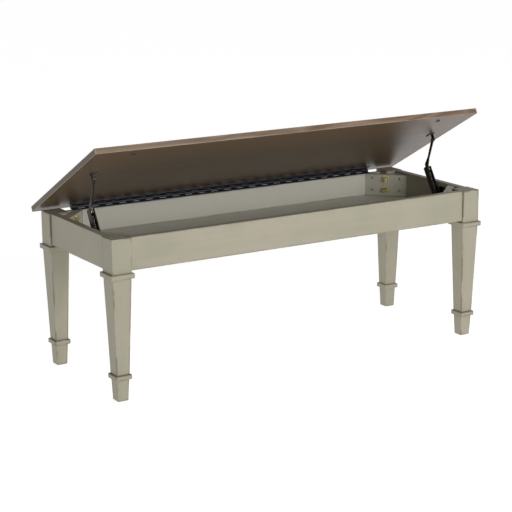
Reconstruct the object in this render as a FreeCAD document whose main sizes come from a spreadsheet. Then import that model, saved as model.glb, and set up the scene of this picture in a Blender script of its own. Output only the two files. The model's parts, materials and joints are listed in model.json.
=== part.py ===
import FreeCAD, Part
import Sketcher
import math
import os
import re

# Lift-top storage bench: a painted frame on four tapered legs, and a wooden
# lid on a continuous hinge, held open by a folding stay at each end.
# X runs along the bench, Y from front to back, Z up from the floor.
# The lid stands open, as it rests on its stays.

SIZES = [
    # whole bench, lid shut
    ("seat_length", 1220.0),
    ("seat_depth", 468.0),
    ("seat_height", 457.0),
    # lid
    ("lid_thick", 16.0),
    ("lid_gap", 3.0),
    ("lid_overhang", 18.0),
    ("lid_open", 28.35),
    ("lipping_wide", 14.0),
    ("lid_round", 1.2),
    # legs
    ("leg_block", 56.0),
    ("block_below_rail", 5.5),
    ("upper_collar_tall", 13.5),
    ("upper_collar_out", 6.0),
    ("shaft_shy", 1.5),
    ("shaft_foot", 37.5),
    ("lower_collar_top", 74.0),
    ("lower_collar_tall", 13.0),
    ("lower_collar_out", 5.0),
    ("foot_top", 35.5),
    ("foot_bottom", 30.5),
    ("foot_bevel", 1.5),
    ("collar_round", 2.2),
    ("leg_round", 1.2),
    ("cut_past", 1.0),
    # glides under the feet
    ("glide_radius", 10.0),
    ("glide_tall", 2.0),
    ("glide_nail_radius", 1.4),
    ("glide_nail_long", 14.0),
    # rails
    ("rail_thick", 20.0),
    ("rail_tall", 87.0),
    ("rail_reveal", 4.0),
    ("back_rail_drop", 7.5),
    ("rail_round", 1.2),
    ("groove_deep", 6.0),
    # storage floor and the battens under it
    ("panel_thick", 6.0),
    ("panel_above_edge", 7.0),
    ("panel_play", 0.5),
    ("batten_wide", 60.0),
    ("batten_from_middle", 190.0),
    ("batten_play", 0.5),
    # corner blocks
    ("corner_cut", 3.7),
    ("corner_thick", 21.0),
    ("corner_down", 2.0),
    # hanger bolts that draw the legs to the corner blocks
    ("bolt_radius", 4.0),
    ("bolt_pitch", 34.0),
    ("bolt_down", 37.0),
    ("bolt_in_leg", 34.0),
    ("bolt_end", 3.0),
    ("washer_radius", 12.0),
    ("washer_thick", 1.6),
    ("nut_across", 13.0),
    ("nut_thick", 6.5),
    # countersunk wood screws
    ("screw_radius", 2.0),
    ("screw_head_radius", 4.0),
    ("screw_head_tall", 2.2),
    ("corner_screw_in", 21.6),
    ("corner_screw_pitch", 37.0),
    ("corner_screw_long", 34.0),
    ("batten_screw_long", 12.0),
    ("batten_screw_pitch", 110.0),
    # continuous hinge
    ("leaf_thick", 1.6),
    ("leaf_wide", 20.0),
    ("knuckle_clear", 0.75),
    ("knuckle_pitch", 21.4),
    ("knuckle_play", 0.4),
    ("hinge_end_gap", 33.0),
    ("axis_behind_leg", 0.5),
    ("hinge_screw_radius", 1.4),
    ("hinge_head_radius", 2.8),
    ("hinge_head_tall", 1.1),
    ("hinge_screw_long", 13.0),
    ("hinge_screw_pitch", 82.0),
    ("hinge_screw_from_edge", 7.0),
    # bumpers under the lid
    ("bumper_radius", 6.0),
    ("bumper_clear", 0.4),
    ("bumper_dome", 0.8),
    ("bumper_from_end", 120.0),
    # stay: the plate on the side rail
    ("plate_thick", 2.5),
    ("plate_wide", 26.0),
    ("plate_above", 38.0),
    ("plate_below", 13.0),
    ("plate_corner", 4.0),
    ("plate_screw_long", 15.0),
    ("plate_screw_out", 6.5),
    ("plate_screw_up", 29.0),
    # stay: places of its pivots
    ("pivot_share", 0.677),
    ("pivot_above_floor", 24.0),
    ("channel_reach", 99.0),
    ("channel_lean", 58.0),
    ("bracket_share", 0.671),
    ("bracket_drop", 16.5),
    # stay: channel
    ("channel_gap", 4.0),
    ("channel_wide", 15.0),
    ("channel_wall", 1.8),
    ("channel_front", 8.0),
    ("channel_heel", 12.0),
    ("channel_tip", 8.0),
    ("channel_corner", 4.0),
    ("channel_lip", 1.5),
    ("stud_sink", 3.4),
    ("stud_back_play", 0.4),
    ("seat_from_pivot", 10.0),
    ("seat_tall", 14.0),
    # stay: spring
    ("spring_radius", 3.8),
    ("spring_wire_radius", 0.7),
    ("spring_pitch", 4.4),
    ("spring_end_play", 1.2),
    # stay: arm
    ("arm_thick", 3.0),
    ("arm_inset", 1.0),
    ("knee_radius", 4.8),
    ("cam_radius", 7.5),
    ("cam_along", 11.0),
    ("cam_out", 8.0),
    ("shank_along", 34.0),
    ("shank_out", 5.5),
    ("shank_radius", 3.4),
    ("arm_head_radius", 4.6),
    # stay: pins
    ("pivot_radius", 3.0),
    ("pin_play", 0.05),
    ("pivot_head_radius", 5.5),
    ("pivot_head_tall", 1.6),
    ("stud_radius", 3.0),
    ("stud_bush_radius", 4.6),
    ("stud_side_play", 0.3),
    # stay: bracket under the lid
    ("ear_thick", 2.0),
    ("ear_wide", 11.0),
    ("ear_gap", 0.4),
    ("bracket_thick", 2.0),
    ("bracket_long", 26.0),
    ("bracket_wide", 14.0),
    ("bracket_screw_pitch", 16.0),
    ("bracket_screw_long", 12.0),
    ("rivet_radius", 2.5),
    ("rivet_head_radius", 4.5),
    ("rivet_head_tall", 1.5),
]

# Places and sizes that follow from the ones above.
WORKED_OUT = [
    ("frame_length", "seat_length - 2 * lid_overhang"),
    ("frame_depth", "seat_depth - 2 * lid_overhang"),
    ("rim", "seat_height - lid_thick - lid_gap"),
    ("lid_under", "rim + lid_gap"),
    ("back_rim", "rim - back_rail_drop"),
    ("hinge_space", "lid_under - back_rim"),
    ("axis_up", "back_rim + hinge_space / 2"),
    # The origin lies under the middle of the bench's outline with the lid
    # open: the lid's back edge swings out behind the legs.
    ("lid_back_out", "lid_overhang - axis_behind_leg"),
    ("lid_top_up", "seat_height - axis_up"),
    ("open_cos", "cos(lid_open * 1deg)"),
    ("open_sin", "sin(lid_open * 1deg)"),
    ("swing_back", "axis_behind_leg + lid_back_out * open_cos + lid_top_up * open_sin"),
    ("middle", "(upper_collar_out - swing_back) / 2"),
    ("leg_x", "(frame_length - leg_block) / 2"),
    ("leg_y", "(frame_depth - leg_block) / 2"),
    ("rail_in_x", "frame_length / 2 - rail_reveal - rail_thick"),
    ("rail_in_y", "frame_depth / 2 - rail_reveal - rail_thick"),
    ("axis_y", "middle + frame_depth / 2 + axis_behind_leg"),
    # rails and storage floor
    ("rail_under", "rim - rail_tall"),
    ("panel_under", "rail_under + panel_above_edge"),
    ("panel_top", "panel_under + panel_thick"),
    ("panel_down", "rim - panel_top"),
    # legs
    ("upper_collar_top", "rail_under - block_below_rail"),
    ("shaft_head", "upper_collar_top - upper_collar_tall"),
    ("foot_head", "lower_collar_top - lower_collar_tall"),
    ("shaft_top", "leg_block - shaft_shy"),
    # The corner block's rear face lies on the leg's inner corner, cut back for it.
    ("block_reach", "2 * (leg_block - rail_reveal - rail_thick) - corner_cut + corner_thick * sqrt(2)"),
    ("corner_half", "block_reach / sqrt(2)"),
    ("corner_screw_column", "corner_half - corner_screw_in"),
    ("corner_at_x", "rail_in_x - block_reach / 2"),
    ("corner_at_y", "rail_in_y - block_reach / 2"),
    ("bolt_up", "rim - bolt_down"),
    ("bolt_out", "washer_thick + nut_thick + bolt_end"),
    # hinge and bumpers
    ("hinge_length", "frame_length - 2 * leg_block - 2 * hinge_end_gap"),
    ("knuckle_radius", "hinge_space / 2 - knuckle_clear"),
    ("hinge_pin_radius", "knuckle_radius - leaf_thick - pin_play"),
    ("knuckle_bore", "hinge_pin_radius + pin_play"),
    ("knuckle_cut", "knuckle_radius + knuckle_play"),
    ("bumper_tall", "lid_gap - bumper_clear"),
    ("rail_mid_y", "rail_in_y + rail_thick / 2"),
    ("bumper_x", "seat_length / 2 - bumper_from_end"),
    # stays
    ("bracket_from_hinge", "bracket_share * frame_depth"),
    ("pivot_y", "axis_y - pivot_share * frame_depth"),
    ("pivot_up", "panel_top + pivot_above_floor"),
    ("lean_cos", "cos(channel_lean * 1deg)"),
    ("lean_sin", "sin(channel_lean * 1deg)"),
    ("knee_y", "pivot_y + channel_reach * lean_cos"),
    ("knee_up", "pivot_up + channel_reach * lean_sin"),
    ("shut_y", "axis_y - bracket_from_hinge"),
    ("shut_up", "lid_under - bracket_drop"),
    ("shut_rise", "shut_up - axis_up"),
    ("open_y", "axis_y - bracket_from_hinge * open_cos + shut_rise * open_sin"),
    ("open_up", "axis_up + bracket_from_hinge * open_sin + shut_rise * open_cos"),
    ("channel_outer_x", "rail_in_x - plate_thick - channel_gap"),
    ("channel_inner_x", "channel_outer_x - channel_wide"),
    ("channel_mid_x", "channel_outer_x - channel_wide / 2"),
    ("arm_x", "channel_mid_x - arm_inset - arm_thick / 2"),
    ("ear_x", "arm_x + arm_thick + ear_gap"),
    ("channel_back", "knee_radius + stud_sink + stud_back_play"),
    ("channel_long", "channel_heel + channel_reach + channel_tip"),
    ("channel_deep", "channel_back + channel_front - channel_wall"),
    ("seat_top", "seat_from_pivot + channel_wall"),
    ("spring_from", "seat_top + spring_wire_radius"),
    ("spring_long", "channel_reach - stud_bush_radius - spring_end_play - spring_from"),
]

HOMES = {name: "Sizes." + name for name, value in SIZES}
HOMES.update({name: "Places." + name for name, rule in WORKED_OUT})

RIGHT_ANGLE = 90.0
HEXAGON = 6
# How near to one a direction's part is when the edge is steep, or straight
# along an axis, and how near two heights are when they are the same one.
STEEP = math.cos(math.radians(10))
STRAIGHT = math.cos(math.radians(1))
CLOSE = 1.0
X_AXIS = FreeCAD.Vector(1, 0, 0)
Y_AXIS = FreeCAD.Vector(0, 1, 0)
Z_AXIS = FreeCAD.Vector(0, 0, 1)
ALONG = {
    "x": FreeCAD.Rotation(Y_AXIS, RIGHT_ANGLE),
    "y": FreeCAD.Rotation(X_AXIS, -RIGHT_ANGLE),
    "z": FreeCAD.Rotation(),
}
# Each corner's side in X and in Y, and the turn that brings a corner block,
# whose outer side is drawn towards +Y, to face that corner.
CORNERS = {
    "front_left": (-1, -1, 135.0),
    "front_right": (1, -1, -135.0),
    "back_right": (1, 1, -45.0),
    "back_left": (-1, 1, 45.0),
}

doc = FreeCAD.newDocument("StorageBench")
nodes = {}


# ---------------------------------------------------------------- helpers
def spelled(rule):
    """The rule with each size's or place's name led by the object that holds it."""
    return re.sub(r"[a-z]\w*", lambda found: HOMES.get(found.group(), found.group()), rule)


def bind(thing, **rules):
    """Tie each property of the thing to its rule."""
    for name, rule in rules.items():
        thing.setExpression(name, spelled(rule))
    return thing


def put(thing, x="0", y="0", z="0"):
    """Tie the thing's position to three rules."""
    for axis, rule in (("x", x), ("y", y), ("z", z)):
        thing.setExpression("Placement.Base." + axis, spelled(rule))
    return thing


def value_of(rule):
    """The rule's value now, as a plain number."""
    places.setExpression("asked", spelled(rule))
    places.recompute()
    return places.asked


def node(thing, label):
    """Keep the thing as the sub-part of this name."""
    thing.Label = label
    nodes[label] = thing
    return thing


def box(length, width, height, x="0", y="0", z="0"):
    solid = doc.addObject("Part::Box", "Box")
    bind(solid, Length=length, Width=width, Height=height)
    return put(solid, x, y, z)


def rod(radius, long, along="z", x="0", y="0", z="0"):
    solid = doc.addObject("Part::Cylinder", "Rod")
    solid.Placement = FreeCAD.Placement(FreeCAD.Vector(), ALONG[along])
    bind(solid, Radius=radius, Height=long)
    return put(solid, x, y, z)


def cone(radius, end_radius, long, along="z", x="0", y="0", z="0"):
    solid = doc.addObject("Part::Cone", "Cone")
    solid.Placement = FreeCAD.Placement(FreeCAD.Vector(), ALONG[along])
    bind(solid, Radius1=radius, Radius2=end_radius, Height=long)
    return put(solid, x, y, z)


def fuse(*solids):
    joined = doc.addObject("Part::MultiFuse", "Fuse")
    joined.Shapes = list(solids)
    return joined


def group(*solids):
    held = doc.addObject("Part::Compound", "Group")
    held.Links = list(solids)
    return held


def cut(base, *tools):
    rest = doc.addObject("Part::Cut", "Cut")
    rest.Base = base
    rest.Tool = tools[0] if len(tools) == 1 else group(*tools)
    return rest


def mirrored(source):
    """The same thing on the bench's other end."""
    twin = doc.addObject("Part::Mirroring", "Mirrored")
    twin.Source = source
    twin.Normal = X_AXIS
    return twin


def both_ends(source):
    return group(source, mirrored(source))


def at_corner(thing, corner):
    """Bring a thing drawn at a corner block's face to its own corner."""
    side_x, side_y, turn = CORNERS[corner]
    thing.Placement = FreeCAD.Placement(FreeCAD.Vector(), FreeCAD.Rotation(Z_AXIS, turn))
    return put(thing, f"{side_x} * corner_at_x", f"middle + {side_y} * corner_at_y")


def swung_open(thing):
    """Turn a thing drawn on the shut lid about the hinge, to where it rests."""
    bind(thing, **{"Placement.Rotation.Axis.x": "1", "Placement.Rotation.Axis.y": "0"})
    bind(thing, **{"Placement.Rotation.Axis.z": "0", "Placement.Rotation.Angle": "-lid_open"})
    away = "axis_y - axis_y * open_cos - axis_up * open_sin"
    rise = "axis_up + axis_y * open_sin - axis_up * open_cos"
    return put(thing, "0", away, rise)


def new_body(name):
    return doc.addObject("PartDesign::Body", name)


def outline(body, plane, points, level="0"):
    """A closed outline of straight lines on one of the body's own planes."""
    sketch = body.newObject("Sketcher::SketchObject", "Outline")
    own_plane = next(f for f in body.Origin.OriginFeatures if f.Role == plane)
    sketch.AttachmentSupport = [(own_plane, "")]
    sketch.MapMode = "FlatFace"
    sketch.setExpression("AttachmentOffset.Base.z", spelled(level))
    corners = [FreeCAD.Vector(value_of(across), value_of(up), 0) for across, up in points]
    for start, end in zip(corners, corners[1:] + corners[:1]):
        sketch.addGeometry(Part.LineSegment(start, end), False)
    for i, (across, up) in enumerate(points):
        sketch.addConstraint(Sketcher.Constraint("Coincident", i - 1 if i else len(points) - 1, 2, i, 1))
        for kind, rule, size in (("DistanceX", across, corners[i].x), ("DistanceY", up, corners[i].y)):
            index = sketch.addConstraint(Sketcher.Constraint(kind, -1, 1, i, 1, size))
            sketch.setExpression(f"Constraints[{index}]", spelled(rule))
    return sketch


def square(body, side, level):
    """A square outline about the body's own Z axis."""
    low, high = f"-({side}) / 2", f"({side}) / 2"
    return outline(body, "XY_Plane", [(low, low), (high, low), (high, high), (low, high)], level)


def pad(body, sketch, long):
    made = body.newObject("PartDesign::Pad", "Pad")
    made.Profile = sketch
    return bind(made, Length=long)


def pocket(body, sketch, deep):
    made = body.newObject("PartDesign::Pocket", "Pocket")
    made.Profile = sketch
    return bind(made, Length=deep)


def loft(body, sketches):
    made = body.newObject("PartDesign::AdditiveLoft", "Loft")
    made.Profile = sketches[0]
    made.Sections = sketches[1:]
    made.Ruled = True
    return made


def rounded(body, feature, radius, wanted):
    """Round those edges of the body's latest feature that pass the test."""
    doc.recompute()
    names = [f"Edge{i}" for i, edge in enumerate(feature.Shape.Edges, 1) if wanted(edge)]
    made = body.newObject("PartDesign::Fillet", "Fillet")
    made.Base = (feature, names)
    return bind(made, Radius=radius)


def direction(edge):
    """The edge's direction, from end to end, without sign."""
    line = edge.Vertexes[-1].Point - edge.Vertexes[0].Point
    line.normalize()
    return FreeCAD.Vector(abs(line.x), abs(line.y), abs(line.z))


def steep(edge):
    return direction(edge).z > STEEP


def straight_along_x(edge):
    return direction(edge).x > STRAIGHT


def close(first, second):
    return abs(first - second) < CLOSE


def screw(long, radius="screw_radius", head="screw_head_radius", head_tall="screw_head_tall"):
    """A countersunk screw along +Z, with the top of its head at zero height."""
    shank = rod(radius, f"({long}) - ({head_tall}) / 2", z=f"({head_tall}) / 2")
    return fuse(cone(head, radius, head_tall), shank)


def set_in(thing, along, x, y, z):
    """Drive a thing drawn along +Z in another direction, from a given point."""
    thing.Placement = FreeCAD.Placement(FreeCAD.Vector(), along)
    return put(thing, x, y, z)


def evenly(long, pitch):
    """Offsets from the middle of a row that fills the length, about a pitch apart."""
    count = max(2, round(long / pitch) + 1)
    return [(i / (count - 1) - 0.5) * long for i in range(count)]


# ------------------------------------------------------- sheet of sizes
def make_sheet():
    sheet = doc.addObject("Spreadsheet::Sheet", "Sizes")
    for row, (name, value) in enumerate(SIZES, 1):
        sheet.set(f"A{row}", name)
        sheet.set(f"B{row}", str(value))
        sheet.setAlias(f"B{row}", name)
    doc.recompute()


def make_places():
    held = doc.addObject("App::VarSet", "Places")
    for name, rule in WORKED_OUT:
        held.addProperty("App::PropertyFloat", name)
        held.setExpression(name, spelled(rule))
    held.addProperty("App::PropertyFloat", "asked")
    doc.recompute()
    return held


# ----------------------------------------------------------- fasteners
def make_glides():
    """One smooth disc with a nail under each foot."""
    made = []
    for side_x, side_y, _ in CORNERS.values():
        place = {"x": f"{side_x} * leg_x", "y": f"middle + {side_y} * leg_y"}
        nail = rod("glide_nail_radius", "glide_nail_long", z="glide_tall / 2", **place)
        made.append(fuse(rod("glide_radius", "glide_tall", **place), nail))
    return node(group(*made), "leg_glides")


def bolt_pair(make_one):
    """Two of a thing, one above the other, on the middle of each corner block."""
    made = []
    for corner in CORNERS:
        pair = [make_one(f"bolt_up + {up} * bolt_pitch / 2") for up in (-1, 1)]
        made.append(at_corner(group(*pair), corner))
    return group(*made)


def make_bolts():
    long = "bolt_out + corner_thick + bolt_in_leg"
    return node(bolt_pair(lambda up: rod("bolt_radius", long, "y", y="-bolt_out", z=up)), "hanger_bolts")


def make_washers(bolts):
    discs = bolt_pair(lambda up: rod("washer_radius", "washer_thick", "y", y="-washer_thick", z=up))
    return node(cut(discs, bolts), "bolt_washers")


def make_nuts(bolts):
    def nut(up):
        blank = doc.addObject("Part::Prism", "Nut")
        blank.Polygon = HEXAGON
        bind(blank, Circumradius="nut_across / sqrt(3)", Height="nut_thick")
        return set_in(blank, ALONG["y"], "0", "-washer_thick - nut_thick", up)

    return node(cut(bolt_pair(nut), bolts), "hex_nuts")


def make_corner_screws():
    made = []
    for corner in CORNERS:
        for across in (-1, 1):
            for up in (-1, 1):
                place = (f"{across} * corner_screw_column", "0", f"bolt_up + {up} * corner_screw_pitch / 2")
                driven = set_in(screw("corner_screw_long"), ALONG["y"], *place)
                made.append(at_corner(group(driven), corner))
    return node(group(*made), "corner_block_screws")


def make_batten_screws():
    """Screws up through the battens into the storage floor."""
    made = []
    for side in (-1, 1):
        for up_y in (-1, 1):
            place = (f"{side} * batten_from_middle", f"middle + {up_y} * batten_screw_pitch", "rail_under")
            made.append(set_in(screw("batten_screw_long"), ALONG["z"], *place))
    return node(group(*made), "batten_screws")


def hinge_screws(along, up):
    made = []
    row = evenly(value_of("hinge_length - 2 * leaf_wide"), value_of("hinge_screw_pitch"))
    for x in row:
        one = screw("hinge_screw_long", "hinge_screw_radius", "hinge_head_radius", "hinge_head_tall")
        made.append(set_in(one, along, str(x), "axis_y - leaf_wide + hinge_screw_from_edge", up))
    return group(*made)


# ------------------------------------------------------------ the frame
def make_legs(tools):
    """Square block, tapered shaft and flared foot, drawn with the inner corner at +X +Y."""
    shaft = [("foot_head", "shaft_foot"), ("lower_collar_top", "shaft_foot"), ("shaft_head", "shaft_top")]
    foot = [("glide_tall", "foot_bottom - 2 * foot_bevel"), ("glide_tall + foot_bevel", "foot_bottom")]
    foot.append(("foot_head", "foot_top"))
    past, short = "leg_block / 2 + cut_past", "leg_block / 2 - corner_cut - cut_past"
    inner = [(past, past), (short, past), (past, short)]
    for corner, (side_x, side_y, _) in CORNERS.items():
        body = new_body("LegBlank")
        pad(body, square(body, "leg_block", "shaft_head"), "rim - shaft_head")
        loft(body, [square(body, side, level) for level, side in shaft])
        whole = loft(body, [square(body, side, level) for level, side in foot])
        rounded(body, whole, "leg_round", steep)
        pocket(body, outline(body, "XY_Plane", inner, "rim"), "panel_down")
        inward = math.degrees(math.atan2(-side_y, -side_x)) - RIGHT_ANGLE / 2
        body.Placement = FreeCAD.Placement(FreeCAD.Vector(), FreeCAD.Rotation(Z_AXIS, inward))
        put(body, f"{side_x} * leg_x", f"middle + {side_y} * leg_y")
        node(cut(body, *tools), "leg_" + corner)


def make_collar(label, corner, outer, inner, low, tall):
    """A square moulding around a leg."""
    side_x, side_y, _ = CORNERS[corner]
    body = new_body("Collar")
    ring = pad(body, square(body, outer, low), tall)
    rounded(body, ring, "collar_round", lambda edge: True)
    pocket(body, square(body, inner, f"{low} + {tall}"), tall)
    put(body, f"{side_x} * leg_x", f"middle + {side_y} * leg_y")
    node(body, label)


def make_collars():
    for corner in CORNERS:
        upper = ("leg_block + 2 * upper_collar_out", "leg_block", "shaft_head", "upper_collar_tall")
        lower = ("shaft_foot + 2 * lower_collar_out", "shaft_foot", "foot_head", "lower_collar_tall")
        make_collar("upper_collar_" + corner, corner, *upper)
        make_collar("lower_collar_" + corner, corner, *lower)


def make_rail(label, long, turn, x, y, tools, top="rim"):
    """A rail with its outer face at zero and its inner face, with the groove, at +Y."""
    body = new_body("RailBlank")
    groove = "rail_thick - groove_deep"
    profile = [("0", "rail_under"), ("rail_thick", "rail_under"), ("rail_thick", "panel_under")]
    profile += [(groove, "panel_under"), (groove, "panel_top"), ("rail_thick", "panel_top")]
    profile += [("rail_thick", top), ("0", top)]
    whole = pad(body, outline(body, "YZ_Plane", profile, f"-({long}) / 2"), long)
    level = value_of(top)
    rounded(body, whole, "rail_round", lambda e: straight_along_x(e) and close(e.CenterOfMass.z, level))
    body.Placement = FreeCAD.Placement(FreeCAD.Vector(), FreeCAD.Rotation(Z_AXIS, turn))
    put(body, x, y)
    node(cut(body, *tools), label)


def make_rails(tools):
    long, short = "frame_length - 2 * leg_block", "frame_depth - 2 * leg_block"
    face_x, face_y = "frame_length / 2 - rail_reveal", "frame_depth / 2 - rail_reveal"
    make_rail("front_rail", long, 0, "0", f"middle - ({face_y})", tools)
    make_rail("back_rail", long, 2 * RIGHT_ANGLE, "0", f"middle + {face_y}", tools, "back_rim")
    make_rail("left_rail", short, -RIGHT_ANGLE, f"-({face_x})", "middle", tools)
    make_rail("right_rail", short, RIGHT_ANGLE, face_x, "middle", tools)


def make_floor_panel(tools):
    """The storage floor, let into the rails' grooves and notched around the legs."""
    reach_x, reach_y = "rail_in_x + groove_deep - panel_play", "rail_in_y + groove_deep - panel_play"
    notch_x = "frame_length / 2 - leg_block - panel_play"
    notch_y = "frame_depth / 2 - leg_block - panel_play"
    quarter = [(reach_x, notch_y), (notch_x, notch_y), (notch_x, reach_y)]
    points = quarter + [(f"-({x})", y) for x, y in reversed(quarter)]
    points += [(f"-({x})", f"-({y})") for x, y in quarter]
    points += [(x, f"-({y})") for x, y in reversed(quarter)]
    body = new_body("PanelBlank")
    pad(body, outline(body, "XY_Plane", points, "panel_under"), "panel_thick")
    put(body, "0", "middle")
    node(cut(body, *tools), "storage_floor")


def make_battens(tools):
    long = "2 * (rail_in_y - batten_play)"
    for label, side in (("floor_batten_left", -1), ("floor_batten_right", 1)):
        start = f"{side} * batten_from_middle - batten_wide / 2"
        place = (start, "middle - rail_in_y + batten_play", "rail_under")
        plain = box("batten_wide", long, "panel_under - rail_under", *place)
        node(cut(plain, *tools), label)


def make_corner_blocks(tools):
    """A thick board across each corner, mitred to lie against both rails."""
    rear = "corner_half - corner_thick"
    points = [("-corner_half", "0"), ("corner_half", "0")]
    points += [(rear, "corner_thick"), (f"-({rear})", "corner_thick")]
    for corner, (_, side_y, _) in CORNERS.items():
        body = new_body("BlockBlank")
        tall = "panel_down - back_rail_drop" if side_y > 0 else "panel_down - corner_down"
        pad(body, outline(body, "XY_Plane", points, "panel_top"), tall)
        node(cut(at_corner(body, corner), *tools), "corner_block_" + corner)


# ------------------------------------------------------------ the hinge
def knuckle_spans(first):
    """Every second knuckle of the hinge, as its start and its length."""
    whole = value_of("hinge_length")
    count = 2 * round((whole / value_of("knuckle_pitch") - 1) / 2) + 1
    return [(f"-hinge_length / 2 + {i} * hinge_length / {count}", f"hinge_length / {count}")
            for i in range(first, count, 2)]


def make_leaf(leaf_low, first_gap, screws):
    """A leaf with its knuckles, cut away where the other leaf's knuckles turn."""
    start = "-hinge_length / 2"
    leaf = box("hinge_length", "leaf_wide", "leaf_thick", start, "axis_y - leaf_wide", leaf_low)
    barrel = rod("knuckle_radius", "hinge_length", "x", start, "axis_y", "axis_up")
    bore = rod("knuckle_bore", "hinge_length", "x", start, "axis_y", "axis_up")
    gaps = []
    for gap_start, gap_long in knuckle_spans(first_gap):
        place = (f"{gap_start} - knuckle_play / 2", "axis_y - knuckle_cut", "axis_up - hinge_space")
        gaps.append(box(f"{gap_long} + knuckle_play", "2 * knuckle_cut", "2 * hinge_space", *place))
    return cut(fuse(leaf, barrel), bore, screws, *gaps)


def make_hinge(frame_screws, lid_screws):
    node(make_leaf("back_rim", 1, frame_screws), "hinge_frame_leaf")
    swung_open(node(make_leaf("lid_under - leaf_thick", 0, lid_screws), "hinge_lid_leaf"))
    pin = rod("hinge_pin_radius", "hinge_length", "x", "-hinge_length / 2", "axis_y", "axis_up")
    node(pin, "hinge_pin")


# -------------------------------------------------------------- the lid
def make_lid_panel(tools):
    inner_x, inner_y = "seat_length - 2 * lipping_wide", "seat_depth - 2 * lipping_wide"
    corner = (f"-({inner_x}) / 2", f"middle - ({inner_y}) / 2", "lid_under")
    blank = box(inner_x, inner_y, "lid_thick", *corner)
    swung_open(node(cut(blank, *tools), "lid_panel"))


def make_lippings():
    """A mitred edging along each side of the lid, rounded on its outer edges."""
    half_x, half_y = "seat_length / 2", "seat_depth / 2"
    sides = [("lid_edge_front", "x", -1), ("lid_edge_back", "x", 1)]
    sides += [("lid_edge_left", "y", -1), ("lid_edge_right", "y", 1)]
    for label, runs, side in sides:
        half, out = (half_x, half_y) if runs == "x" else (half_y, half_x)
        points = [(f"-({half})", out), (half, out)]
        points += [(f"{half} - lipping_wide", f"{out} - lipping_wide")]
        points += [(f"lipping_wide - {half}", f"{out} - lipping_wide")]
        placed = [(a, f"{side} * ({b})") for a, b in points]
        if runs == "y":
            placed = [(b, a) for a, b in placed]
        placed = [(a, f"middle + {b}") for a, b in placed]
        body = new_body("Lipping")
        whole = pad(body, outline(body, "XY_Plane", placed, "lid_under"), "lid_thick")
        far = value_of(f"{side} * ({out})") + (value_of("middle") if runs == "x" else 0)

        def outer(edge, runs=runs, far=far):
            middle = edge.CenterOfMass
            return not steep(edge) and close(middle.y if runs == "x" else middle.x, far)

        rounded(body, whole, "lid_round", outer)
        swung_open(node(body, label))


def make_bumpers():
    """Two soft bumpers under the lid that meet the front rail."""
    place = {"x": "bumper_x", "y": "middle - rail_mid_y"}
    low = "lid_under - bumper_tall"
    stem = rod("bumper_radius", "bumper_tall - bumper_dome", z=f"{low} + bumper_dome", **place)
    dome = cone("bumper_radius - bumper_dome", "bumper_radius", "bumper_dome", z=low, **place)
    swung_open(node(both_ends(fuse(stem, dome)), "lid_bumpers"))


# ------------------------------------------------------------ the stays
def along_channel(thing):
    """Turn a thing drawn along +Y from the pivot to the channel's lean."""
    bind(thing, **{"Placement.Rotation.Axis.x": "1", "Placement.Rotation.Axis.y": "0"})
    bind(thing, **{"Placement.Rotation.Axis.z": "0", "Placement.Rotation.Angle": "channel_lean"})
    return put(thing, "0", "pivot_y", "pivot_up")


def make_plate(screws, pivot):
    body = new_body("PlateBlank")
    low, high = "pivot_y - plate_wide / 2", "pivot_y + plate_wide / 2"
    bottom, top = "pivot_up - plate_below", "pivot_up + plate_above"
    points = [(low, bottom), (high, bottom), (high, top), (low, top)]
    whole = pad(body, outline(body, "YZ_Plane", points, "rail_in_x - plate_thick"), "plate_thick")
    rounded(body, whole, "plate_corner", straight_along_x)
    right = node(cut(body, screws, pivot), "stay_plate_right")
    node(mirrored(right), "stay_plate_left")


def make_channel():
    """A channel, open towards the arm, with lips that keep the knee stud in."""
    body = new_body("ChannelBlank")
    low, high = "-channel_back - channel_wall", "channel_front"
    start, end = "-channel_heel", "channel_reach + channel_tip"
    points = [(start, low), (end, low), (end, high), (start, high)]
    whole = pad(body, outline(body, "YZ_Plane", points, "channel_inner_x"), "channel_wide")
    rounded(body, whole, "channel_corner", straight_along_x)
    inside, wall_x = "channel_wide - 2 * channel_wall", "channel_inner_x + channel_wall"
    trough = box(inside, "channel_long", "channel_deep", wall_x, start, "-channel_back")
    mouth_wide, mouth_x = f"{inside} - 2 * channel_lip", f"{wall_x} + channel_lip"
    mouth = box(mouth_wide, "channel_long", "channel_deep", mouth_x, start, "0")
    bore = rod("pivot_radius + pin_play", "channel_wide", "x", "channel_inner_x")
    seat = box(inside, "channel_wall", "seat_tall", wall_x, "seat_from_pivot", "-channel_back")
    right = along_channel(node(fuse(cut(body, trough, mouth, bore), seat), "stay_channel_right"))
    node(mirrored(right), "stay_channel_left")


def make_spring():
    """The coil spring in the channel, from its seat to the knee stud."""
    body = new_body("Spring")
    reach, wire = "spring_radius", "spring_wire_radius"
    sketch = body.newObject("Sketcher::SketchObject", "Wire")
    own_plane = next(f for f in body.Origin.OriginFeatures if f.Role == "XZ_Plane")
    sketch.AttachmentSupport = [(own_plane, "")]
    sketch.MapMode = "FlatFace"
    middle = FreeCAD.Vector(value_of(reach), 0, 0)
    sketch.addGeometry(Part.Circle(middle, Z_AXIS, value_of(wire)), False)
    across = sketch.addConstraint(Sketcher.Constraint("DistanceX", -1, 1, 0, 3, value_of(reach)))
    sketch.addConstraint(Sketcher.Constraint("PointOnObject", 0, 3, -1))
    size = sketch.addConstraint(Sketcher.Constraint("Radius", 0, value_of(wire)))
    sketch.setExpression(f"Constraints[{across}]", spelled(reach))
    sketch.setExpression(f"Constraints[{size}]", spelled(wire))
    coil = body.newObject("PartDesign::AdditiveHelix", "Coil")
    coil.Profile = sketch
    coil.ReferenceAxis = (sketch, ["V_Axis"])
    coil.Mode = "pitch-height-angle"
    bind(coil, Pitch="spring_pitch", Height="spring_long - 2 * spring_wire_radius")
    laid = set_in(body, ALONG["y"], "channel_mid_x", "spring_from", "0")
    right = along_channel(node(group(laid), "stay_spring_right"))
    node(mirrored(right), "stay_spring_left")


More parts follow.
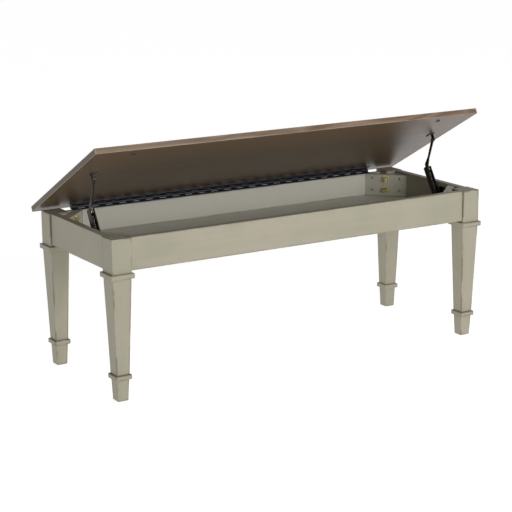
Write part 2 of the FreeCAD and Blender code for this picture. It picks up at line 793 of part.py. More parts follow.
def rounded_strip(start, end, thick):
    """A flat strip with round ends of two radii, its sides tangent to both."""
    (first, first_radius), (last, last_radius) = start, end
    run = last - first
    lean = math.asin((first_radius - last_radius) / run.Length)
    across = X_AXIS.cross(run)
    across.normalize()
    run.normalize()
    side = across * math.cos(lean) + run * math.sin(lean)
    other = across * -math.cos(lean) + run * math.sin(lean)
    corners = [first + side * first_radius, last + side * last_radius]
    corners += [last + other * last_radius, first + other * first_radius]
    web = Part.Face(Part.makePolygon(corners + corners[:1])).extrude(thick)
    for middle, radius in (start, end):
        web = web.fuse(Part.makeCylinder(radius, thick.Length, middle, X_AXIS))
    return web


def make_arm():
    """The cranked flat arm, from the knee over its cam to the lid bracket."""
    knee = FreeCAD.Vector(0, value_of("knee_y"), value_of("knee_up"))
    head = FreeCAD.Vector(0, value_of("open_y"), value_of("open_up"))
    rows = [("0", "0", "knee_radius"), ("cam_along", "-cam_out", "cam_radius")]
    rows += [("shank_along", "-shank_out", "shank_radius")]
    rounds = [(FreeCAD.Vector(0, value_of(y), value_of(z)), value_of(radius)) for y, z, radius in rows]
    rounds.append((FreeCAD.Vector(0, (head - knee).Length, 0), value_of("arm_head_radius")))
    thick = FreeCAD.Vector(value_of("arm_thick"), 0, 0)
    whole = rounded_strip(rounds[0], rounds[1], thick)
    for start, end in zip(rounds[1:], rounds[2:]):
        whole = whole.fuse(rounded_strip(start, end, thick))
    for middle, radius in ((rounds[0][0], "stud_radius"), (rounds[-1][0], "rivet_radius + pin_play")):
        whole = whole.cut(Part.makeCylinder(value_of(radius), thick.Length, middle, X_AXIS))
    arm = doc.addObject("Part::Feature", "Arm")
    arm.Shape = whole.removeSplitter()
    turn = math.degrees(math.atan2(head.z - knee.z, head.y - knee.y))
    arm.Placement = FreeCAD.Placement(knee + X_AXIS * value_of("arm_x"), FreeCAD.Rotation(X_AXIS, turn))
    node(arm, "stay_arm_right")
    node(mirrored(arm), "stay_arm_left")


def make_stud():
    """The stud at the knee, with a bush on each side of the arm."""
    here = ("knee_y", "knee_up")
    inner = "channel_inner_x + channel_wall + stud_side_play"
    outer = "channel_outer_x - channel_wall - stud_side_play"
    shank = rod("stud_radius", f"{outer} - ({inner})", "x", inner, *here)
    bushes = [rod("stud_bush_radius", f"arm_x - ({inner})", "x", inner, *here)]
    bushes.append(rod("stud_bush_radius", f"{outer} - arm_x - arm_thick", "x", "arm_x + arm_thick", *here))
    right = node(fuse(shank, *bushes), "stay_stud_right")
    node(mirrored(right), "stay_stud_left")


def make_pivot():
    """The rivet on which the channel turns, through the plate."""
    here = ("pivot_y", "pivot_up")
    start = "channel_inner_x - pivot_head_tall - stud_side_play"
    head = rod("pivot_head_radius", "pivot_head_tall", "x", start, *here)
    shank = rod("pivot_radius", f"rail_in_x - ({start})", "x", start, *here)
    collar_x = "channel_outer_x + stud_side_play"
    collar = rod("pivot_head_radius", "channel_gap - stud_side_play", "x", collar_x, *here)
    return fuse(head, shank, collar)


def make_plate_screws():
    made = []
    for side in (-1, 1):
        screw_y = f"pivot_y + {side} * plate_screw_out"
        place = ("rail_in_x - plate_thick", screw_y, "pivot_up + plate_screw_up")
        made.append(set_in(screw("plate_screw_long"), ALONG["x"], *place))
    return group(*made)


def make_lid_bracket(screws, rivet):
    """A foot under the lid with an ear that carries the arm's rivet."""
    place = ("ear_x + ear_thick - bracket_wide", "shut_y - bracket_long / 2", "lid_under - bracket_thick")
    foot = box("bracket_wide", "bracket_long", "bracket_thick", *place)
    ear = box("ear_thick", "ear_wide", "bracket_drop", "ear_x", "shut_y - ear_wide / 2", "shut_up")
    tip = rod("ear_wide / 2", "ear_thick", "x", "ear_x", "shut_y", "shut_up")
    right = swung_open(node(cut(fuse(foot, ear, tip), screws, rivet), "stay_bracket_right"))
    node(mirrored(right), "stay_bracket_left")


def make_bracket_screws():
    made = []
    for side in (-1, 1):
        screw_x = "ear_x + ear_thick / 2 - bracket_wide / 2"
        place = (screw_x, f"shut_y + {side} * bracket_screw_pitch / 2", "lid_under - bracket_thick")
        made.append(set_in(screw("bracket_screw_long"), ALONG["z"], *place))
    return group(*made)


def make_rivet():
    here = ("shut_y", "shut_up")
    start, end = "arm_x - ear_gap", "ear_x + ear_thick"
    inner = rod("rivet_head_radius", "rivet_head_tall", "x", f"{start} - rivet_head_tall", *here)
    outer = rod("rivet_head_radius", "rivet_head_tall", "x", end, *here)
    return fuse(rod("rivet_radius", f"{end} - ({start})", "x", start, *here), inner, outer)


# ----------------------------------------------------------------- build
def build():
    glides = make_glides()
    bolts = make_bolts()
    make_washers(bolts)
    make_nuts(bolts)
    corner_screws = make_corner_screws()
    batten_screws = make_batten_screws()
    over, under = FreeCAD.Rotation(X_AXIS, 2 * RIGHT_ANGLE), ALONG["z"]
    frame_screws = node(hinge_screws(over, "back_rim + leaf_thick"), "hinge_frame_screws")
    lid_screws = hinge_screws(under, "lid_under - leaf_thick")
    swung_open(node(group(lid_screws), "hinge_lid_screws"))
    one_plate_screws = make_plate_screws()
    plate_screws = node(both_ends(one_plate_screws), "stay_plate_screws")
    one_bracket_screws = make_bracket_screws()
    bracket_screws = both_ends(one_bracket_screws)
    swung_open(node(group(bracket_screws), "stay_bracket_screws"))
    pivot = make_pivot()
    node(both_ends(pivot), "stay_pivots")
    rivet = make_rivet()
    swung_open(node(both_ends(rivet), "stay_bracket_rivets"))

    make_legs((glides, bolts))
    make_collars()
    make_rails((corner_screws, frame_screws, plate_screws))
    make_floor_panel((batten_screws,))
    make_battens((batten_screws,))
    make_corner_blocks((bolts, corner_screws))
    make_hinge(frame_screws, lid_screws)
    make_lid_panel((lid_screws, bracket_screws))
    make_lippings()
    make_bumpers()
    make_plate(one_plate_screws, pivot)
    make_channel()
    make_spring()
    make_arm()
    make_stud()
    make_lid_bracket(one_bracket_screws, rivet)


def check_and_write():
    doc.recompute()
    for thing in doc.Objects:
        if "Invalid" in thing.State or "Error" in thing.State:
            raise RuntimeError(f"{thing.Name} ({thing.Label}) did not build: {thing.State}")
    for label, thing in nodes.items():
        if thing.Shape.isNull() or not thing.Shape.isValid() or thing.Shape.Volume <= 0:
            raise RuntimeError(f"{label} has no valid shape")
    os.makedirs("parts", exist_ok=True)
    for label, thing in nodes.items():
        thing.Shape.exportStep(os.path.join("parts", label + ".step"))
        print(label, len(thing.Shape.Solids), round(thing.Shape.Volume))
    print(len(nodes), "nodes")


make_sheet()
places = make_places()
build()
check_and_write()
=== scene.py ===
"""The looks of a lift-top storage bench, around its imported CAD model.

Lengths are in metres and angles in degrees, unless a name says otherwise.
Colours are written as the 0 to 255 values that a colour picker shows.
"""
import json
import math

import bmesh
import bpy
import numpy as np
from mathutils import Matrix, Vector


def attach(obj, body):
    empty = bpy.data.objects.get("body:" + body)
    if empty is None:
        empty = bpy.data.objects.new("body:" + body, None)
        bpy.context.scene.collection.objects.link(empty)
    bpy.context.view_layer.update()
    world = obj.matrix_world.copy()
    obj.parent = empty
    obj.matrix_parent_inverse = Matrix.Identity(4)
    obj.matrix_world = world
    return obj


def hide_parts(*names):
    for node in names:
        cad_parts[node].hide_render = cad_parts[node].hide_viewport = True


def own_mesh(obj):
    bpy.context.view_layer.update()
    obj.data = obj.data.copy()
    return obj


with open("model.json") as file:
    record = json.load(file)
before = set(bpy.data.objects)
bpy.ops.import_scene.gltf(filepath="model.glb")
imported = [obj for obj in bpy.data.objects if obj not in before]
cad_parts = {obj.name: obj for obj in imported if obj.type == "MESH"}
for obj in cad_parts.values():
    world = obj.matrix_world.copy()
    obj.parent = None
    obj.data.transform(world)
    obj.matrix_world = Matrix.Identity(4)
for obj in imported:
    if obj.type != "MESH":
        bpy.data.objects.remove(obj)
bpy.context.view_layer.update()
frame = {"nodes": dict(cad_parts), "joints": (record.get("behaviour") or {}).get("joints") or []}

MM = 0.001
WELD = 1e-6
SAMPLES_BEVEL = 6
SAMPLES_NEAR = 8  # rays that look for nearby faces

# A Mix node has a set of sockets for each kind of value: these are its colours'.
MIX_INPUTS = (0, 6, 7)
MIX_RESULT = 2

# Sizes of the hardware that the CAD model gives only as plain rods and blocks.
# A head share is a screw head's depth over its radius.
WOOD_HEAD_SHARE = 0.55
HINGE_HEAD_SHARE = 0.6
NUT_ACROSS = 13 * MM
NUT_BORE = 4.05 * MM
THREAD_PITCH = 1.25 * MM
THREAD_LONG = 13 * MM
THREAD_CHAMFER = 0.8 * MM
COIL_RADIUS = 3.6 * MM
COIL_WIRE = 0.75 * MM
COIL_TURNS = 17
COIL_SHORT_BY = 6 * MM

# The lid's slope as it stands open at rest, and the way its underside faces.
JOINTS = {joint["name"]: joint for joint in frame["joints"]}
LID_OPEN = math.radians(-JOINTS["lid_hinge"]["range_deg"][0])
LID_DOWN = Vector((0, -math.sin(LID_OPEN), -math.cos(LID_OPEN)))


# ---------------------------------------------------------------- materials
# Ranges and scales in the functions below are settings of the texture nodes.

def colour(red, green, blue):
    """A linear colour from the values that a colour picker shows."""
    def linear(value):
        share = value / 255
        return share / 12.92 if share <= 0.04045 else ((share + 0.055) / 1.055) ** 2.4
    return (linear(red), linear(green), linear(blue), 1.0)


class Finish:
    """One procedural material, with short calls that add its nodes."""

    def __init__(self, name, **constants):
        self.material = bpy.data.materials.new(name)
        self.material.use_nodes = True
        self.tree = self.material.node_tree
        self.shader = self.tree.nodes["Principled BSDF"]
        coords = self.tree.nodes.new("ShaderNodeTexCoord")
        self.place = coords.outputs["Object"]
        self.facing = coords.outputs["Normal"]
        for socket, value in constants.items():
            self.shader.inputs[socket.replace("_", " ")].default_value = value

    def add(self, kind, inputs=(), **settings):
        """A node with its settings, and its sockets set or linked."""
        made = self.tree.nodes.new("ShaderNode" + kind)
        for name, value in settings.items():
            setattr(made, name, value)
        for socket, value in dict(inputs).items():
            self.feed(made.inputs[socket], value)
        return made

    def feed(self, socket, value):
        """Link a node's result to a socket, or set the socket to a constant."""
        if isinstance(value, bpy.types.NodeSocket):
            self.tree.links.new(value, socket)
        else:
            socket.default_value = value

    def sums(self, operation, *values):
        """The result of one step of arithmetic."""
        made = self.add("Math", operation=operation)
        for socket, value in zip(made.inputs, values):
            self.feed(socket, value)
        return made.outputs[0]

    def turned(self, angle_x):
        """Places turned about the X axis, to lie in the plane of a sloping piece."""
        return self.add("Mapping", {"Vector": self.place, "Rotation": (angle_x, 0, 0)}).outputs[0]

    def stretched(self, place, *scale):
        """Places scaled along each axis, so a texture's grain follows a piece."""
        return self.add("Mapping", {"Vector": place, "Scale": scale}).outputs[0]

    def noise(self, place, scale=1.0, detail=3.0, rough=0.5, distort=0.0):
        inputs = {"Vector": place, "Scale": scale, "Detail": detail, "Roughness": rough,
                  "Distortion": distort}
        return self.add("TexNoise", inputs).outputs["Fac"]

    def between(self, value, low, high, to_low=0.0, to_high=1.0):
        """The value taken from one range to another, and kept inside it."""
        inputs = {"Value": value, "From Min": low, "From Max": high,
                  "To Min": to_low, "To Max": to_high}
        return self.add("MapRange", inputs).outputs["Result"]

    def mix(self, share, first, second):
        """The first colour going over to the second as the share rises."""
        made = self.add("Mix", data_type="RGBA")
        sockets = [made.inputs[i] for i in MIX_INPUTS]
        for socket, value in zip(sockets, (share, first, second)):
            self.feed(socket, value)
        return made.outputs[MIX_RESULT]

    def rounded_normal(self, radius):
        return self.add("Bevel", {"Radius": radius}, samples=SAMPLES_BEVEL).outputs["Normal"]

    def edges(self, reach):
        """One along the arrises and nought on the flats, from how near the
        inside of the piece its next face is."""
        inner = self.add("AmbientOcclusion", {"Distance": reach}, samples=SAMPLES_NEAR,
                         inside=True, only_local=True)
        return self.between(inner.outputs["AO"], 0.97, 0.75)

    def shaded_corners(self, distance):
        """One in the corners where pieces meet and nought in the open: the mask of painted shade."""
        around = self.add("AmbientOcclusion", {"Distance": distance}, samples=SAMPLES_NEAR)
        return self.between(around.outputs["AO"], 0.80, 0.35)

    def bump(self, height, depth, strength, normal):
        inputs = {"Height": height, "Distance": depth, "Strength": strength, "Normal": normal}
        return self.add("Bump", inputs).outputs["Normal"]

    def done(self, base, rough=None, normal=None):
        """The material, once its colour, roughness and relief are joined up."""
        for socket, value in (("Base Color", base), ("Roughness", rough), ("Normal", normal)):
            if value is not None:
                self.feed(self.shader.inputs[socket], value)
        return self.material


def painted_wood(name, grain, inside=0.0, rubbed=0.25):
    """Grey-taupe paint, hand-rubbed: mottled, brushed along the grain, with
    painted shade in brown where pieces meet, and rubbed through on some
    arrises. Inside the storage well the coat is painted paler and cooler, as
    painted light in the well that the lid shades. `inside` and `rubbed` are
    shares from 0 to 1."""
    # The pale colour is painted light inside the well, and the first brown is painted shade in the
    # corners.
    cool, warm, cloudy = colour(148, 144, 125), colour(154, 147, 130), colour(140, 138, 122)
    streaky, pale = colour(166, 159, 145), colour(192, 190, 178)
    corner_shade_brown, bare_brown = colour(84, 74, 58), colour(92, 74, 52)
    f = Finish(name, Specular_IOR_Level=0.4)
    broad = f.noise(f.stretched(f.place, 5, 5, 5), detail=2.0, distort=0.6)
    second = f.noise(f.stretched(f.place, 11, 11, 11), detail=4.0, rough=0.6)
    brushed = f.noise(f.stretched(f.place, *grain), detail=4.0, rough=0.65)
    speckle = f.noise(f.place, 900, detail=2.0)
    base = f.mix(f.between(broad, 0.38, 0.62), cool, warm)
    base = f.mix(f.between(second, 0.45, 0.75, 0, 0.55), base, cloudy)
    base = f.mix(f.between(brushed, 0.4, 0.75, 0, 0.25), base, streaky)
    # Painted light: the share `inside` turns the coat paler and cooler, to brighten the shaded well.
    base = f.mix(inside, base, pale)
    # Painted shade: brown darkening in the corners where pieces meet, made patchy by noise.
    corner_shade_patches = f.noise(f.stretched(f.place, 60, 60, 60), detail=4.0, rough=0.7)
    streak = f.noise(f.stretched(f.place, 9, 9, 9), detail=3.0, rough=0.6)
    corner_shade = f.sums("MULTIPLY", f.shaded_corners(7 * MM), f.between(corner_shade_patches, 0.25, 0.6, 0.55, 1.0))
    base = f.mix(f.sums("MULTIPLY", corner_shade, 0.75), base, corner_shade_brown)
    worn = f.sums("MULTIPLY", f.edges(5 * MM), f.between(streak, 0.45, 0.52))
    base = f.mix(f.sums("MULTIPLY", worn, rubbed), base, bare_brown)
    relief = f.sums("ADD", brushed, f.sums("MULTIPLY", speckle, 0.25))
    normal = f.bump(relief, 0.12 * MM, 0.5, f.rounded_normal(1.0 * MM))
    rough = f.between(brushed, 0.3, 0.7, 0.42, 0.56)
    return f.done(base, rough, normal)


def lid_wood(name, grain, dark=0.0):
    """Weathered brown stain on the top and edges, and a dark, even stain with
    a satin sheen underneath. The grain runs along the piece. `dark` is how much
    painted shade darkens the faces to the left and right, from 0 to 1."""
    brown, light_brown, faded = colour(110, 88, 70), colour(137, 116, 96), colour(146, 131, 113)
    side_shade_brown, fibre_brown, pore_brown = colour(58, 49, 34), colour(82, 66, 54), colour(70, 56, 45)
    arris, deep = colour(172, 155, 132), colour(76, 58, 40)
    deep_warm, deep_grey = colour(89, 71, 51), colour(80, 65, 48)
    f = Finish(name, Specular_IOR_Level=0.4)
    in_plane = f.turned(LID_OPEN)
    along = f.stretched(in_plane, *grain)
    figure = f.noise(along, detail=2.0, distort=0.9)
    rings = f.sums("PINGPONG", f.sums("MULTIPLY", figure, 9.0), 0.5)
    fibres = f.noise(f.stretched(along, 3, 9, 9), detail=5.0, rough=0.7)
    pores = f.noise(f.stretched(along, 8, 46, 46), detail=2.0, rough=0.8)
    patches = f.noise(f.stretched(along, 0.7, 0.5, 0.5), detail=3.0)
    top = f.mix(f.between(rings, 0.05, 0.45), brown, light_brown)
    top = f.mix(f.between(patches, 0.42, 0.62, 0, 0.6), top, faded)
    # Painted shade: the faces to the left and right go darker brown, by the share `dark`.
    to_side = f.sums("ABSOLUTE", f.add("SeparateXYZ", {"Vector": f.facing}).outputs["X"])
    top = f.mix(f.sums("MULTIPLY", to_side, dark), top, side_shade_brown)
    top = f.mix(f.between(fibres, 0.35, 0.65, 0.35, 0), top, fibre_brown)
    top = f.mix(f.between(pores, 0.58, 0.72, 0, 0.5), top, pore_brown)
    top = f.mix(f.sums("MULTIPLY", f.edges(2.5 * MM), 0.5), top, arris)
    under = f.mix(f.between(fibres, 0.3, 0.7), deep, deep_warm)
    under = f.mix(f.between(patches, 0.4, 0.6, 0, 0.5), under, deep_grey)
    down = f.add("VectorMath", {0: f.facing, 1: LID_DOWN}, operation="DOT_PRODUCT").outputs["Value"]
    below = f.between(down, 0.7, 0.9)
    base = f.mix(below, top, under)
    relief = f.sums("ADD", fibres, f.sums("MULTIPLY", pores, -0.8))
    normal = f.bump(relief, 0.18 * MM, 0.6, f.rounded_normal(1.0 * MM))
    rough = f.sums("ADD", f.between(fibres, 0.3, 0.7, 0.36, 0.46), f.sums("MULTIPLY", below, -0.06))
    return f.done(base, rough, normal)


def bare_wood(name):
    """Plain pine for the battens that nobody sees."""
    pine_dark, pine_light, fibre = colour(196, 160, 112), colour(218, 188, 142), colour(176, 138, 92)
    f = Finish(name, Specular_IOR_Level=0.3)
    along = f.stretched(f.place, 40, 2.2, 40)
    rings = f.sums("PINGPONG", f.sums("MULTIPLY", f.noise(along, detail=1.5), 7.0), 0.5)
    fibres = f.noise(f.stretched(f.place, 700, 30, 700), detail=3.0, rough=0.7)
    base = f.mix(f.between(rings, 0.1, 0.45), pine_dark, pine_light)
    base = f.mix(f.between(fibres, 0.35, 0.65, 0, 0.3), base, fibre)
    normal = f.bump(fibres, 0.15 * MM, 0.5, f.rounded_normal(0.8 * MM))
    return f.done(base, f.between(fibres, 0.3, 0.7, 0.6, 0.75), normal)


def metal(name, dark, light, rough, arris=None, metallic=1.0):
    """Plated or coated metal: cloudy and finely scratched. Where `arris` is given,
    that colour is painted on its arrises: a painted highlight where it is paler
    than the metal, painted shade where it is darker."""
    f = Finish(name, Metallic=metallic)
    cloud = f.noise(f.place, 180, detail=4.0, rough=0.6)
    fine = f.noise(f.stretched(f.place, 500, 2600, 2600), detail=2.0, rough=0.7)
    base = f.mix(f.between(cloud, 0.35, 0.65), dark, light)
    if arris:
        # The arris colour on the edges is painted light.
        base = f.mix(f.sums("MULTIPLY", f.edges(0.8 * MM), 0.6), base, arris)
    normal = f.bump(fine, 0.02 * MM, 0.5, f.rounded_normal(0.3 * MM))
    return f.done(base, f.between(cloud, 0.3, 0.7, rough - 0.06, rough + 0.08), normal)


def moulded(name, dark, light, rough):
    """Moulded rubber or nylon, with a fine, even texture."""
    f = Finish(name)
    cloud = f.noise(f.place, 260, detail=3.0)
    fine = f.noise(f.place, 2400, detail=2.0)
    base = f.mix(f.between(cloud, 0.35, 0.65), dark, light)
    normal = f.bump(fine, 0.04 * MM, 0.5, f.rounded_normal(0.4 * MM))
    return f.done(base, f.between(cloud, 0.3, 0.7, rough - 0.04, rough + 0.06), normal)


ALONG_X = (3, 60, 60)
ALONG_Y = (60, 3, 60)
ALONG_Z = (60, 60, 3)
LID_ALONG_X = (1.6, 16, 16)
LID_ALONG_Y = (16, 1.6, 16)
paint_on_posts = painted_wood("paint_upright", ALONG_Z, rubbed=0.6)
paint_lengthwise = painted_wood("paint_lengthwise", ALONG_X)
paint_crosswise = painted_wood("paint_crosswise", ALONG_Y)
# Paler coat for the back rail, the storage floor and the corner blocks: painted light.
paint_inside_painted_light = painted_wood("paint_inside_painted_light", ALONG_X, inside=0.9)
paint_blocks_painted_light = painted_wood("paint_blocks_painted_light", ALONG_Z, inside=0.45)
lid_lengthwise = lid_wood("weathered_lengthwise", LID_ALONG_X)
# The lid's end pieces carry painted shade on their faces to the left and right.
lid_crosswise = lid_wood("weathered_crosswise", LID_ALONG_Y, dark=0.8)
pine = bare_wood("bare_pine")
# The washers' darker arris is painted shade; the paler arrises of the other metals are painted
# highlights.
tan_zinc = metal("tan_zinc", colour(204, 190, 160), colour(226, 216, 190), rough=0.45,
                 arris=colour(120, 104, 78), metallic=0.4)
yellow_zinc = metal("yellow_zinc", colour(168, 160, 70), colour(210, 204, 128), rough=0.4,
                    arris=colour(232, 230, 196), metallic=0.8)
bright_zinc = metal("bright_zinc", colour(150, 150, 146), colour(186, 186, 182), rough=0.36,
                    arris=colour(212, 212, 208))
hinge_black = metal("hinge_black", colour(12, 14, 18), colour(24, 27, 34), rough=0.42,
                    arris=colour(70, 78, 96), metallic=0.2)
stay_black = metal("stay_black", colour(34, 33, 32), colour(58, 55, 52), rough=0.36,
                   arris=colour(120, 116, 110))
blued_steel = metal("blued_steel", colour(170, 168, 164), colour(208, 205, 198), rough=0.3)
dark_rubber = moulded("dark_rubber", colour(34, 30, 27), colour(48, 43, 38), rough=0.6)
pale_nylon = moulded("pale_nylon", colour(214, 210, 198), colour(228, 225, 214), rough=0.42)

SLOT_FINISH = {
    "painted_wood": paint_on_posts,
    "lid_wood": lid_lengthwise,
    "bare_wood": pine,
    "nylon": pale_nylon,
    "zinc_yellow": yellow_zinc,
    "zinc": bright_zinc,
    "black_hinge": hinge_black,
    "black_metal": stay_black,
    "spring_steel": blued_steel,
    "rubber": dark_rubber,
}
NODE_FINISH = {
    "front_rail": paint_lengthwise,
    "back_rail": paint_inside_painted_light,
    "storage_floor": paint_inside_painted_light,
    "left_rail": paint_crosswise,
    "right_rail": paint_crosswise,
    "bolt_washers": tan_zinc,
    "lid_edge_left": lid_crosswise,
    "lid_edge_right": lid_crosswise,
}
for corner in ("front_left", "front_right", "back_left", "back_right"):
    NODE_FINISH["corner_block_" + corner] = paint_blocks_painted_light


def wear(thing, finish):
    """Give a thing one finish all over."""
    thing.data.materials.clear()
    thing.data.materials.append(finish)


def finish_cad_nodes():
    """Give each CAD node its own finish, or else its slot's."""
    for name, thing in frame["nodes"].items():
        slot = thing.material_slots[0].material.name.split(".")[0]
        wear(thing, NODE_FINISH.get(name) or SLOT_FINISH[slot])


# ---------------------------------------------------------------- shapes
# A shape is a list of points and a list of faces over them.

def lathe(profile, sides=32, spread=None):
    """A turned shape about Z. Each point of the profile is a radius, a height
    and a slope. A slope of nought leaves the ring round and level. With any
    other, `spread` stretches the radius by angle, and the ring rises by the
    slope times the stretch."""
    points, faces = [], []
    for radius, height, slope in profile:
        for i in range(sides):
            angle = math.tau * i / sides
            reach = radius * (spread(angle) if slope else 1)
            rise = (reach - radius) * slope
            points.append((reach * math.cos(angle), reach * math.sin(angle), height + rise))
    for ring in range(len(profile) - 1):
        for i in range(sides):
            low, next_low = ring * sides + i, ring * sides + (i + 1) % sides
            faces.append((low, next_low, next_low + sides, low + sides))
    faces.append(tuple(reversed(range(sides))))
    faces.append(tuple(range(len(points) - sides, len(points))))
    return points, faces


def cross_screw(head, shank, head_tall, long):
    """A countersunk screw into -Z, with a cross recess in its flat head."""
    slot_half, slot_reach, slot_deep = 0.13 * head, 0.56 * head, 0.5 * head
    sides, narrow = 28, 0.55
    point_long, point_radius = 3 * shank, 0.15 * shank
    work = bmesh.new()
    angles = [math.tau * i / sides for i in range(sides)]
    rim = [work.verts.new((head * math.cos(a), head * math.sin(a), 0)) for a in angles]
    arm = [(slot_reach, -slot_half), (slot_reach, slot_half), (slot_half, slot_half)]
    quarter = math.radians(90)
    cross = [Matrix.Rotation(quarter * turn, 2) @ Vector(p) for turn in range(4) for p in arm]
    mouth = [work.verts.new((p.x, p.y, 0)) for p in cross]
    pit = [work.verts.new((p.x * narrow, p.y * narrow, -slot_deep)) for p in cross]
    loops = [(rim[i], rim[(i + 1) % sides]) for i in range(sides)]
    loops += [(mouth[i], mouth[(i + 1) % len(mouth)]) for i in range(len(mouth))]
    bmesh.ops.triangle_fill(work, edges=[work.edges.new(pair) for pair in loops], use_beauty=True)
    for i in range(len(mouth)):
        after = (i + 1) % len(mouth)
        work.faces.new((mouth[i], mouth[after], pit[after], pit[i]))
    work.faces.new(pit)
    last = rim
    below = ((shank, -head_tall), (shank, point_long - long), (point_radius, -long))
    for radius, height in below:
        ring = [work.verts.new((v.co.x * radius / head, v.co.y * radius / head, height)) for v in rim]
        for i in range(sides):
            work.faces.new((last[i], ring[i], ring[(i + 1) % sides], last[(i + 1) % sides]))
        last = ring
    work.faces.new(last)
    work.verts.index_update()
    points = [tuple(vert.co) for vert in work.verts]
    faces = [tuple(vert.index for vert in face.verts) for face in work.faces]
    work.free()
    return points, faces


def hex_nut(across, tall, bore):
    """A hexagon nut with its corners turned down at both faces."""
    face_radius, slope = 0.97 * across / 2, math.tan(math.radians(30))
    mouth, mouth_deep = 1.15 * bore, 0.15 * tall
    half_side, sides = math.pi / 6, 48

    def to_hexagon(angle):
        off = (angle + half_side) % (2 * half_side) - half_side
        return across / 2 / face_radius / math.cos(off)

    profile = [(bore, mouth_deep, 0), (mouth, 0, 0), (face_radius, 0, 0), (face_radius, 0, slope)]
    profile += [(face_radius, tall, -slope), (face_radius, tall, 0), (mouth, tall, 0),
                (bore, tall - mouth_deep, 0)]
    return lathe(profile, sides, to_hexagon)


def threaded_bolt(radius, long, pitch, threaded):
    """A bolt into -Z whose outer end is threaded and chamfered."""
    end_radius, start_radius, root_radius = 0.7 * radius, 0.96 * radius, 0.84 * radius
    sides = 24
    profile = [(end_radius, 0, 0), (start_radius, -THREAD_CHAMFER, 0)]
    for turn in range(int(threaded / pitch)):
        top = -THREAD_CHAMFER - turn * pitch
        profile += [(radius, top - 0.25 * pitch, 0), (root_radius, top - 0.75 * pitch, 0)]
    profile += [(radius, -threaded - pitch, 0), (radius, -long, 0)]
    return flipped(lathe(profile, sides))


def flipped(shape):
    """The same shape with its faces turned the other way."""
    points, faces = shape
    return points, [tuple(reversed(face)) for face in faces]


def coil(radius, wire, long, turns):
    """A coil spring along Z, with part of a turn at each end laid flat."""
    steps, sides, flat_turn = 20, 8, 0.75
    centres = []
    for i in range(turns * steps + 1):
        turn = i / steps
        share = min(max((turn - flat_turn) / (turns - 2 * flat_turn), 0), 1)
        angle = math.tau * turn
        height = wire + share * (long - 2 * wire)
        centres.append(Vector((radius * math.cos(angle), radius * math.sin(angle), height)))
    points, faces = [], []
    for i, centre in enumerate(centres):
        out = Vector((centre.x, centre.y, 0)).normalized()
        for side in range(sides):
            lean = math.tau * side / sides
            lift = Vector((0, 0, wire * math.sin(lean)))
            points.append(tuple(centre + out * wire * math.cos(lean) + lift))
    for i in range(len(centres) - 1):
        for side in range(sides):
            a, b = i * sides + side, i * sides + (side + 1) % sides
            faces.append((a, a + sides, b + sides, b))
    faces.append(tuple(range(sides)))
    faces.append(tuple(reversed(range(len(points) - sides, len(points)))))
    return points, faces


# ---------------------------------------------------------------- pieces

def solids_of(node):
    """The welded corner points of each separate solid in a CAD node, all in an
    order that is the same on each run."""
    work = bmesh.new()
    work.from_mesh(frame["nodes"][node].data)
    bmesh.ops.remove_doubles(work, verts=work.verts, dist=WELD)
    unseen = set(work.verts)
    found = []
    while unseen:
        front = [unseen.pop()]
        solid = []
        while front:
            vert = front.pop()
            solid.append(tuple(vert.co))
            near = {edge.other_vert(vert) for edge in vert.link_edges} & unseen
            unseen -= near
            front += near
        found.append(np.array(sorted(solid)))
    work.free()
    return sorted(found, key=lambda solid: tuple(solid.mean(0).round(4)))


def main_axis(solid, thin=False):
    """The direction of a round solid: its long way, or the short one if it's thin."""
    rows = np.linalg.svd(solid - solid.mean(0), full_matrices=False)[2]
    return rows[2] if thin else rows[0]


def ends(solid, thin=False):
    """The two ends of a round solid, on its axis, each with the radius there."""
    end_deep = 0.1 * MM
    axis = main_axis(solid, thin)
    centre = solid.mean(0)
    heights = (solid - centre) @ axis
    result = []
    for height in (heights.min(), heights.max()):
        ring = solid[np.abs(heights - height) < end_deep]
        middle = centre + axis * height
        result.append((Vector(middle), float(np.linalg.norm(ring - middle, axis=1).max())))
    return result


def placed(shape, origin, up):
    """A shape drawn about Z, stood at the origin given, with its Z along up."""
    points, faces = shape
    turn = up.to_track_quat("Z", "Y").to_matrix()
    return [tuple(turn @ Vector(p) + origin) for p in points], faces


def piece(name, shapes, finish, body, slot, *nodes, smooth=30):
    """One object of all the shapes, which stands for the CAD nodes given."""
    points, faces = [], []
    for shape_points, shape_faces in shapes:
        first = len(points)
        points += shape_points
        faces += [tuple(first + i for i in face) for face in shape_faces]
    mesh = bpy.data.meshes.new(name)
    mesh.from_pydata(points, [], faces)
    mesh.shade_smooth()
    mesh.set_sharp_from_angle(angle=math.radians(smooth))
    made = bpy.data.objects.new(name, mesh)
    bpy.context.scene.collection.objects.link(made)
    wear(made, finish)
    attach(made, body)
    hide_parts(*nodes)
    return made


def make_screws(node, body, slot, finish, head_share):
    """Cross-head screws in the places of a CAD node's plain ones."""
    shapes = []
    for solid in solids_of(node):
        (first, first_radius), (last, last_radius) = ends(solid)
        head, tip = (first, last) if first_radius > last_radius else (last, first)
        radius, shank = max(first_radius, last_radius), min(first_radius, last_radius)
        screw = cross_screw(radius, shank, head_share * radius, (tip - head).length)
        shapes.append(placed(screw, head, head - tip))
    piece(node.replace("screws", "cross_screws"), shapes, finish, body, slot, node)


def make_nuts():
    """The nuts of the hanger bolts, with their corners turned down."""
    shapes = []
    for solid in solids_of("hex_nuts"):
        (low, _), (high, _) = ends(solid, thin=True)
        nut = hex_nut(NUT_ACROSS, (high - low).length, NUT_BORE)
        shapes.append(placed(nut, low, high - low))
    piece("chamfered_nuts", shapes, yellow_zinc, "frame", "zinc_yellow", "hex_nuts", smooth=20)


